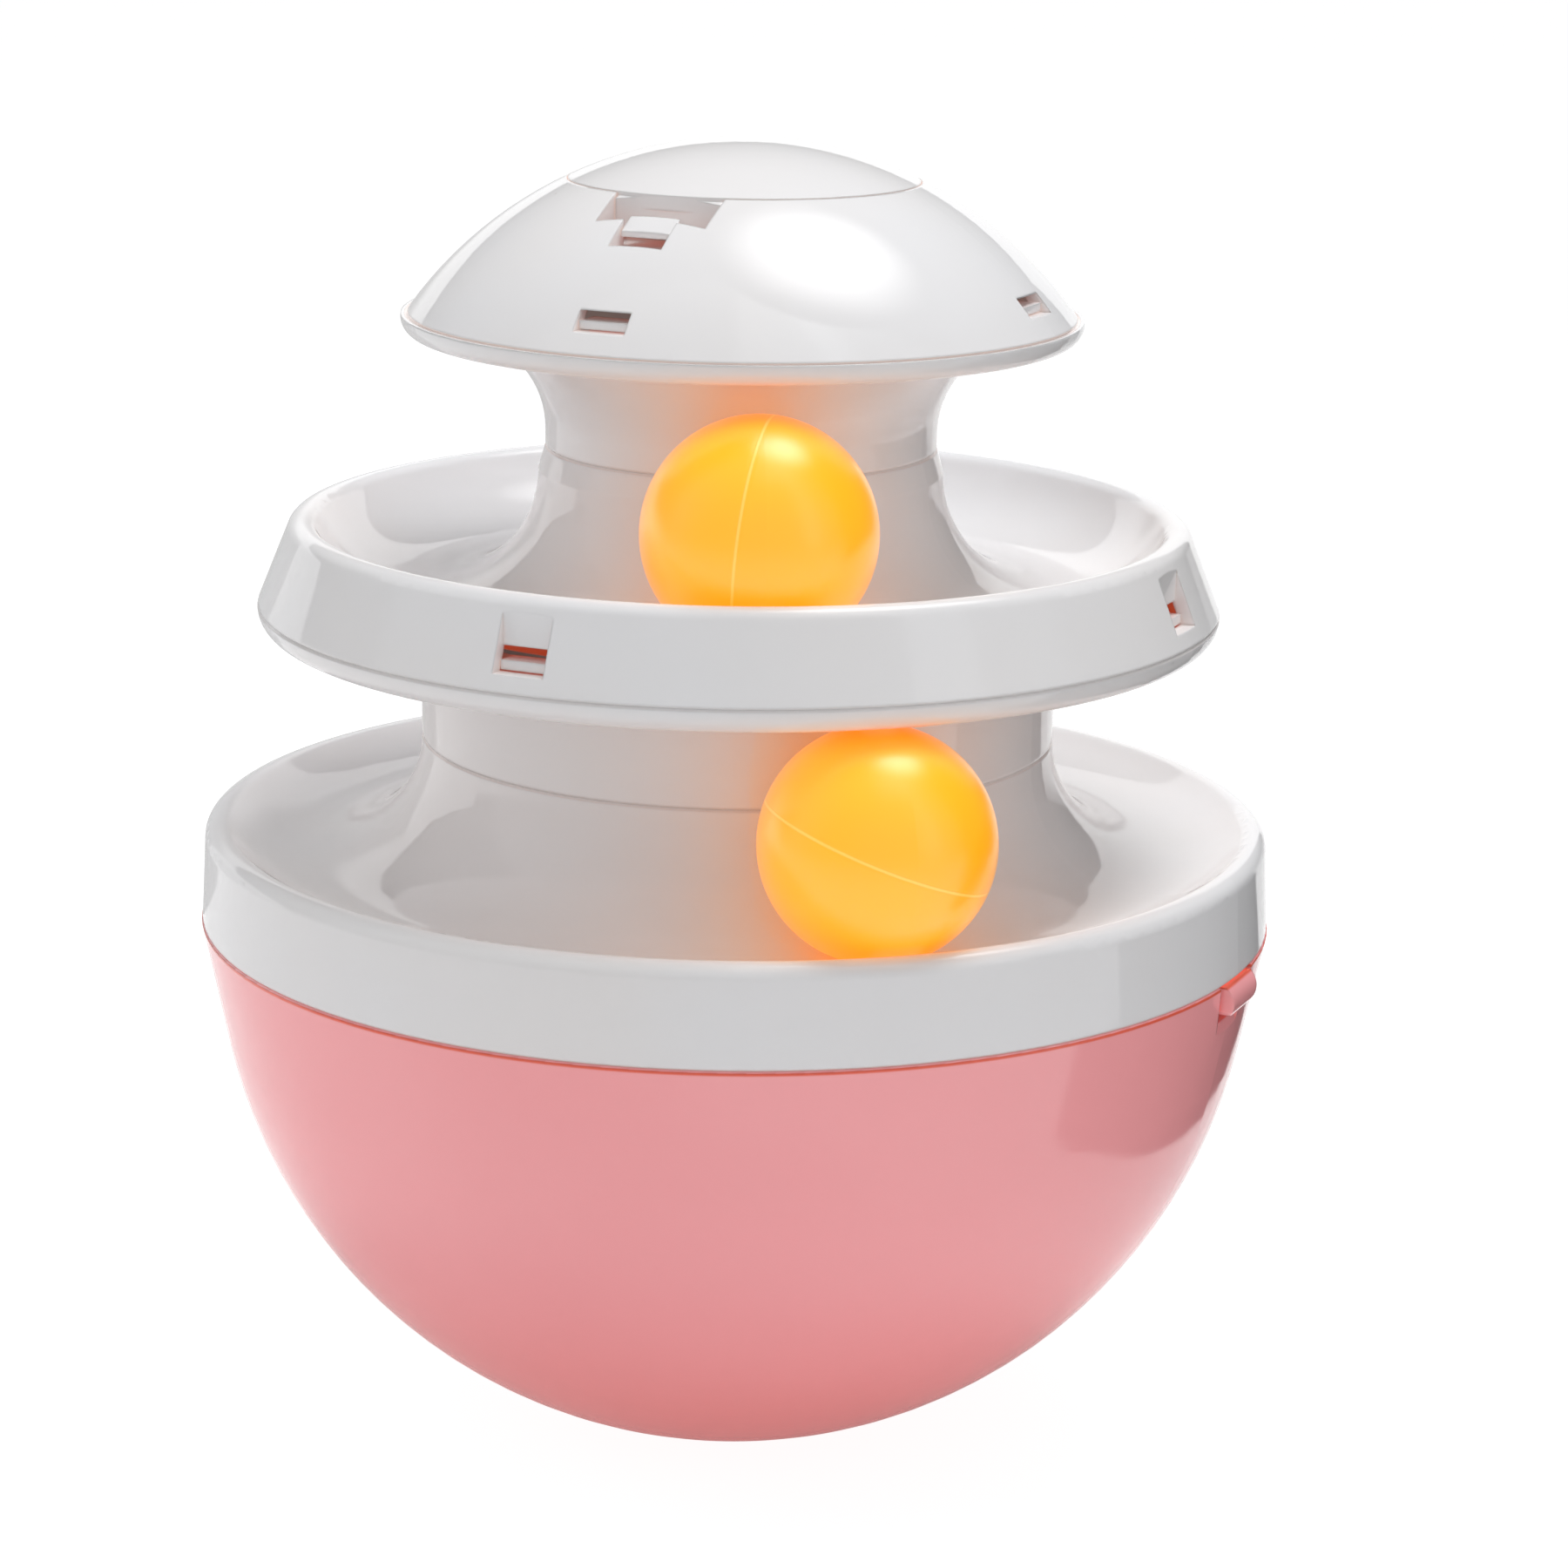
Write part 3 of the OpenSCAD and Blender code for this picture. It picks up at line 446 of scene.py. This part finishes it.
def ball_plastic(name, node, across, finish):
    """Satin translucent plastic with a clear skin, a painted glow that is deeper at the top, and the parting
    line of a two-half ball.
    """
    material, tree, shader = new_material(name, IOR=1.45, Emission_Strength=finish.ball_glow,
                                          Coat_Weight=1.0, Coat_Roughness=0.28, Coat_IOR=1.6)
    low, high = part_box(node)
    colour = tuple(finish.ball_colour)
    pale = (1.0, colour[1] * 1.1, colour[2] * 1.6)
    point = tree.nodes.new("ShaderNodeTexCoord").outputs["Object"]
    # Painted light: the walls glow, deeper orange towards the top as painted shade
    top = smooth_step(tree, towards(tree, point, UP), high.z - (high.z - low.z) * BALL_TOP_SHARE, high.z)
    tree.links.new(mix_colour(tree, top, BALL_GLOW, BALL_TOP_GLOW), shader.inputs["Emission Color"])
    skin = place_group(tree, moulded_surface, Gloss=finish.ball_gloss, Smudge=BALL_SMUDGE, Dust=0.0)
    tree.links.new(point, skin.inputs["Point"])
    line = place_group(tree, mould_line, Centre=(low + high) / 2, Across=across,
                       Half_Width=BALL_LINE_HALF_WIDTH)
    tree.links.new(point, line.inputs["Point"])
    tone = mix_colour(tree, skin.outputs["Tone"], colour, pale)
    share = math_node(tree, "MULTIPLY", line.outputs["Line"], BALL_LINE_SHARE)
    tone = mix_colour(tree, share, tone, BALL_LINE)
    tree.links.new(tone, shader.inputs["Base Color"])
    tree.links.new(skin.outputs["Roughness"], shader.inputs["Roughness"])
    ridge = math_node(tree, "MULTIPLY", line.outputs["Line"], BALL_RIDGE)
    ridge = math_node(tree, "SUBTRACT", ridge, math_node(tree, "MULTIPLY", line.outputs["Bank"], BALL_BANK))
    height = math_node(tree, "ADD", ridge, math_node(tree, "MULTIPLY", skin.outputs["Height"], BALL_SKIN))
    bump = add(tree, "ShaderNodeBump", Strength=BALL_BUMP_STRENGTH, Distance=BALL_BUMP_DEPTH)
    tree.links.new(height, bump.inputs["Height"])
    tree.links.new(bump.outputs[0], shader.inputs["Normal"])
    return material


def plated_metal(name, colour, other, rough, grain_scale):
    """Metal with a mottled plating or cast skin."""
    found = bpy.data.materials.get(name)
    if found:
        return found
    material, tree, shader = new_material(name, Metallic=1.0)
    point = tree.nodes.new("ShaderNodeTexCoord").outputs["Object"]
    mottle = add(tree, "ShaderNodeTexNoise", Scale=grain_scale, Detail=5.0, Roughness=0.65)
    tree.links.new(point, mottle.inputs["Vector"])
    tree.links.new(mix_colour(tree, mottle.outputs[0], colour, other), shader.inputs["Base Color"])
    tree.links.new(smooth_step(tree, mottle.outputs[0], 0.3, 0.7, rough - 0.08, rough + 0.08),
                   shader.inputs["Roughness"])
    soft_edges(tree, shader, mottle.outputs[0], 0.0002, 0.3, 0.0003)
    return material


def dress(names, material):
    """Gives CAD nodes their material."""
    for name in names:
        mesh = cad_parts[name].data
        mesh.materials.clear()
        mesh.materials.append(material)


def shell_white(scene):
    """White plastic of the shells."""
    finish = scene.toy_finish
    return moulded_plastic(
        "shell_white", tuple(finish.shell_colour), SHELL_DRIFT, tuple(finish.seam_tint), SHELL_SEAM_GLOW,
        SHELL_HOLLOW_GLOW, SHELL_WALL_GLOW, finish.shell_gloss, SHELL_SMUDGE)


class TOY_OT_dress_tracks(Operator):
    """Give both ball tracks their glossy white plastic"""

    bl_idname = "toy.dress_tracks"
    bl_label = "Dress the ball tracks"

    def execute(self, context):
        dress(TRACKS, shell_white(context.scene))
        return {"FINISHED"}


class TOY_OT_dress_necks(Operator):
    """Give the neck, the hopper pan and the treat floor their glossy white plastic"""

    bl_idname = "toy.dress_necks"
    bl_label = "Dress the necks and floor"

    def execute(self, context):
        dress(NECKS, shell_white(context.scene))
        return {"FINISHED"}


class TOY_OT_dress_hopper(Operator):
    """Give the dome, the lid and its catch their glossy white plastic"""

    bl_idname = "toy.dress_hopper"
    bl_label = "Dress the hopper"

    def execute(self, context):
        dress(HOPPER, shell_white(context.scene))
        return {"FINISHED"}


class TOY_OT_dress_bowl(Operator):
    """Give the bowl and the treat door their pink plastic"""

    bl_idname = "toy.dress_bowl"
    bl_label = "Dress the bowl"

    def execute(self, context):
        finish = context.scene.toy_finish
        dress(BOWL, moulded_plastic(
            "bowl_pink", tuple(finish.bowl_colour), BOWL_DRIFT, BOWL_SEAM_SHADE_AND_SPECK, BOWL_SEAM_GLOW, BOWL_HOLLOW_GLOW,
            BLACK, finish.bowl_gloss, BOWL_SMUDGE, lip=finish.lip_height))
        return {"FINISHED"}


class TOY_OT_dress_balls(Operator):
    """Give the two balls their translucent orange plastic and parting lines"""

    bl_idname = "toy.dress_balls"
    bl_label = "Dress the balls"

    def execute(self, context):
        finish = context.scene.toy_finish
        for name in BALLS:
            dress([name], ball_plastic(name + "_orange", name, BALL_LINE_ACROSS[name], finish))
        return {"FINISHED"}


class TOY_OT_dress_metal(Operator):
    """Give the counterweight, screws, washer and pins their bare metal"""

    bl_idname = "toy.dress_metal"
    bl_label = "Dress the metal pieces"

    def execute(self, context):
        dress(["counterweight"], plated_metal(
            "weight_cast", (0.16, 0.16, 0.17), (0.30, 0.30, 0.31), rough=0.55, grain_scale=260.0))
        dress(FASTENERS, plated_metal(
            "fastener_zinc", (0.55, 0.56, 0.58), (0.72, 0.73, 0.74), rough=0.34, grain_scale=700.0))
        return {"FINISHED"}


def turned(vector, angle):
    """Vector turned about the tower's axis."""
    return Matrix.Rotation(angle, 3, "Z") @ Vector(vector)


def heading(bearing, rise, turn):
    """Direction at a bearing from the camera's side towards its right, and a rise above the floor."""
    bearing, rise = math.radians(bearing), math.radians(rise)
    flat = math.cos(rise)
    return turned((math.sin(bearing) * flat, -math.cos(bearing) * flat, math.sin(rise)), turn)


def level_edge(tree, way, turn, edge):
    """Soft step of a point or direction socket along a level bearing."""
    bearing, start, end = edge
    return smooth_step(tree, towards(tree, way, heading(bearing, 0.0, turn)), start, end)


def shaped(name, shape, material):
    """Object in the scene from a bmesh, with its material."""
    mesh = bpy.data.meshes.new(name)
    shape.to_mesh(mesh)
    shape.free()
    mesh.materials.append(material)
    piece = bpy.data.objects.new(name, mesh)
    bpy.context.scene.collection.objects.link(piece)
    return piece


def studio_floor(stage):
    """Pale round floor that shows white, keeps a soft contact shadow and darkens past its right edge."""
    shape = bmesh.new()
    bmesh.ops.create_circle(shape, cap_ends=True, segments=96, radius=FLOOR_RADIUS,
                            matrix=Matrix.Translation((0.0, 0.0, -FLOOR_DROP)))
    material, tree, paper = new_material("studio_floor", Roughness=1.0, Emission_Strength=FLOOR_LIFT,
                                         Specular_IOR_Level=0.0)
    point = tree.nodes.new("ShaderNodeTexCoord").outputs["Object"]
    aside, behind, beside = (level_edge(tree, point, stage.turn, edge) for edge in FLOOR_EDGES)
    past = math_node(tree, "MULTIPLY", math_node(tree, "MULTIPLY", aside, behind), beside)
    tree.links.new(mix_colour(tree, past, FLOOR_PAPER, FLOOR_DARK), paper.inputs["Base Color"])
    tree.links.new(mix_colour(tree, past, WHITE, BLACK), paper.inputs["Emission Color"])
    thin = add(tree, "ShaderNodeBsdfDiffuse", Color=FLOOR_SEEN_PAPER)
    glow = add(tree, "ShaderNodeEmission", Color=(*WHITE, 1.0), Strength=FLOOR_SEEN_GLOW)
    both = tree.nodes.new("ShaderNodeAddShader")
    pick = tree.nodes.new("ShaderNodeMixShader")
    path = tree.nodes.new("ShaderNodeLightPath")
    tree.links.new(thin.outputs[0], both.inputs[0])
    tree.links.new(glow.outputs[0], both.inputs[1])
    tree.links.new(path.outputs["Is Camera Ray"], pick.inputs[0])
    tree.links.new(paper.outputs[0], pick.inputs[1])
    tree.links.new(both.outputs[0], pick.inputs[2])
    output = next(node for node in tree.nodes if node.type == "OUTPUT_MATERIAL")
    tree.links.new(pick.outputs[0], output.inputs["Surface"])
    floor = shaped("studio_floor", shape, material)


def studio_air(stage):
    """Room light: white to the camera; a pale room with a bright strip and ceiling, dim gaps beside it."""
    world = bpy.data.worlds.new("studio_air")
    bpy.context.scene.world = world
    world.use_nodes = True
    tree = world.node_tree
    tree.nodes.clear()
    way = tree.nodes.new("ShaderNodeTexCoord").outputs["Generated"]
    low, high = (heading(*place, stage.turn) for place in ROOM_LEFT)
    outside = towards(tree, way, low.cross(high).normalized())
    left = smooth_step(tree, outside, ROOM_LEFT_SOFT, -ROOM_LEFT_SOFT)
    front = math_node(tree, "MULTIPLY", left, level_edge(tree, way, stage.turn, ROOM_FRONT))
    room = smooth_step(tree, front, 0.0, 1.0, stage.shade_glow, stage.air_glow)
    near, far = (level_edge(tree, way, stage.turn, edge) for edge in STRIP_EDGES)
    strip = math_node(tree, "MULTIPLY", near, far)
    room = math_node(tree, "MULTIPLY_ADD", strip, stage.strip_glow, room)
    above = smooth_step(tree, towards(tree, way, UP), *CEILING_RISE)
    ceiling = math_node(tree, "MULTIPLY", level_edge(tree, way, stage.turn, CEILING_EDGE), above)
    room = math_node(tree, "MULTIPLY_ADD", ceiling, stage.ceiling_glow, room)
    path = tree.nodes.new("ShaderNodeLightPath")
    unseen = math_node(tree, "SUBTRACT", 1.0, path.outputs["Is Camera Ray"])
    level = math_node(tree, "MULTIPLY_ADD", room, unseen, path.outputs["Is Camera Ray"])
    air = add(tree, "ShaderNodeBackground", Color=(*WHITE, 1.0))
    tree.links.new(level, air.inputs["Strength"])
    output = tree.nodes.new("ShaderNodeOutputWorld")
    tree.links.new(air.outputs[0], output.inputs["Surface"])


def lit_sheet(name, glow):
    """Material that only glows."""
    return new_material(name, Roughness=1.0, Base_Color=(*BLACK, 1.0), Specular_IOR_Level=0.0,
                        Emission_Strength=glow)


def backdrop_sheet(stage):
    """White sheet behind the toy, out of the camera's sight, with a dimmer patch left of the middle."""
    shape = bmesh.new()
    shape.faces.new([shape.verts.new(turned((x, SHEET_GAP, z), stage.turn)) for x, z in SHEET_OUTLINE])
    material, tree, shader = lit_sheet("backdrop_sheet", stage.sheet_glow)
    point = tree.nodes.new("ShaderNodeTexCoord").outputs["Object"]
    across = towards(tree, point, heading(90.0, 0.0, stage.turn))
    share = math_node(tree, "MULTIPLY", smooth_step(tree, across, *SHEET_DIM_LEFT),
                      smooth_step(tree, across, *SHEET_DIM_RIGHT, 1.0, 0.0))
    below = smooth_step(tree, towards(tree, point, UP), *SHEET_DIM_TOP, 1.0, 0.0)
    share = math_node(tree, "MULTIPLY", math_node(tree, "MULTIPLY", share, below), SHEET_DIM_SHARE)
    tree.links.new(mix_colour(tree, share, WHITE, BLACK), shader.inputs["Emission Color"])
    sheet = shaped("backdrop_sheet", shape, material)
    sheet.visible_camera = False
    sheet.visible_shadow = False


def soft_face(stage):
    """Mirrored face of the overhead soft box: bright in the middle, fading to its edge."""
    away = heading(FACE_BEARING, FACE_RISE, stage.turn)
    middle = LIGHT_AIM + away * FACE_GAP
    shape = bmesh.new()
    lie = Matrix.Translation(middle) @ away.to_track_quat("Z", "Y").to_matrix().to_4x4()
    bmesh.ops.create_circle(shape, cap_ends=True, segments=64, radius=FACE_RADIUS, matrix=lie)
    material, tree, shader = lit_sheet("soft_face", stage.face_glow)
    apart = tree.nodes.new("ShaderNodeVectorMath")
    apart.operation = "DISTANCE"
    tree.links.new(tree.nodes.new("ShaderNodeTexCoord").outputs["Object"], apart.inputs[0])
    apart.inputs[1].default_value = middle
    share = smooth_step(tree, apart.outputs["Value"], *FACE_FADE, 1.0, 0.0)
    tree.links.new(mix_colour(tree, share, BLACK, WHITE), shader.inputs["Emission Color"])
    face = shaped("soft_face", shape, material)
    face.visible_camera = False
    face.visible_diffuse = False
    face.visible_shadow = False


def soft_box(name, stage, bearing, rise, gap, width, glow):
    """Round soft light that faces the toy from a bearing and a rise above the floor, and isn't mirrored."""
    away = heading(bearing, rise, stage.turn)
    data = bpy.data.lights.new(name, "AREA")
    data.shape = "DISK"
    data.size = width
    data.energy = glow * math.pi * math.pi * (width / 2) ** 2
    light = bpy.data.objects.new(name, data)
    light.location = LIGHT_AIM + away * gap
    light.rotation_euler = away.to_track_quat("Z", "Y").to_euler()
    light.visible_glossy = False
    light.visible_camera = False
    bpy.context.scene.collection.objects.link(light)


def picture_camera(stage):
    """Camera at the photograph's viewing angle."""
    data = bpy.data.cameras.new("picture_camera")
    data.lens = stage.lens
    data.sensor_width = 36.0
    data.clip_start, data.clip_end = 0.05, 20.0
    camera = bpy.data.objects.new("picture_camera", data)
    flat = Vector((math.sin(stage.yaw), math.cos(stage.yaw), 0.0))
    ahead = turned(flat * math.cos(stage.pitch) - UP * math.sin(stage.pitch), stage.turn)
    right = ahead.cross(UP).normalized()
    up = right.cross(ahead)
    across = right * math.cos(stage.roll) + up * math.sin(stage.roll)
    over = up * math.cos(stage.roll) - right * math.sin(stage.roll)
    place = turned((0.0, -stage.reach, stage.height), stage.turn)
    camera.matrix_world = Matrix((
        (across.x, over.x, -ahead.x, place.x), (across.y, over.y, -ahead.y, place.y),
        (across.z, over.z, -ahead.z, place.z), (0.0, 0.0, 0.0, 1.0)))
    bpy.context.scene.collection.objects.link(camera)
    bpy.context.scene.camera = camera


class TOY_OT_set_stage(Operator):
    """Set up the pale floor, the room light, the soft boxes and the camera"""

    bl_idname = "toy.set_stage"
    bl_label = "Set the studio stage"

    def execute(self, context):
        stage = context.scene.toy_stage
        context.scene.view_settings.view_transform = "Standard"
        picture_camera(stage)
        studio_floor(stage)
        studio_air(stage)
        backdrop_sheet(stage)
        soft_face(stage)
        for name, bearing, rise, gap, width, glow in SOFT_LIGHTS:
            soft_box(name, stage, bearing, rise, gap, width, getattr(stage, glow))
        return {"FINISHED"}


class TOY_PT_panel(Panel):
    """Sizes, colours and steps of the treat toy"""

    bl_idname = "TOY_PT_panel"
    bl_label = "Treat toy"
    bl_space_type = "VIEW_3D"
    bl_region_type = "UI"
    bl_category = "Treat toy"

    def draw(self, context):
        layout = self.layout
        for group in (context.scene.toy_finish, context.scene.toy_stage):
            box = layout.box()
            for name in group.__annotations__:
                box.prop(group, name)
        for step in STEPS:
            layout.operator(step.bl_idname)


STEPS = (TOY_OT_set_stage, TOY_OT_dress_bowl, TOY_OT_dress_tracks, TOY_OT_dress_necks,
         TOY_OT_dress_hopper, TOY_OT_dress_balls, TOY_OT_dress_metal)
CLASSES = (ToyFinish, ToyStage, *STEPS, TOY_PT_panel)


def register():
    for one in CLASSES:
        bpy.utils.register_class(one)
    bpy.types.Scene.toy_finish = PointerProperty(type=ToyFinish)
    bpy.types.Scene.toy_stage = PointerProperty(type=ToyStage)


def unregister():
    del bpy.types.Scene.toy_stage
    del bpy.types.Scene.toy_finish
    for one in reversed(CLASSES):
        bpy.utils.unregister_class(one)


def main():
    register()
    bpy.ops.toy.set_stage()
    bpy.ops.toy.dress_bowl()
    bpy.ops.toy.dress_tracks()
    bpy.ops.toy.dress_necks()
    bpy.ops.toy.dress_hopper()
    bpy.ops.toy.dress_balls()
    bpy.ops.toy.dress_metal()


if __name__ == "__main__":
    main()
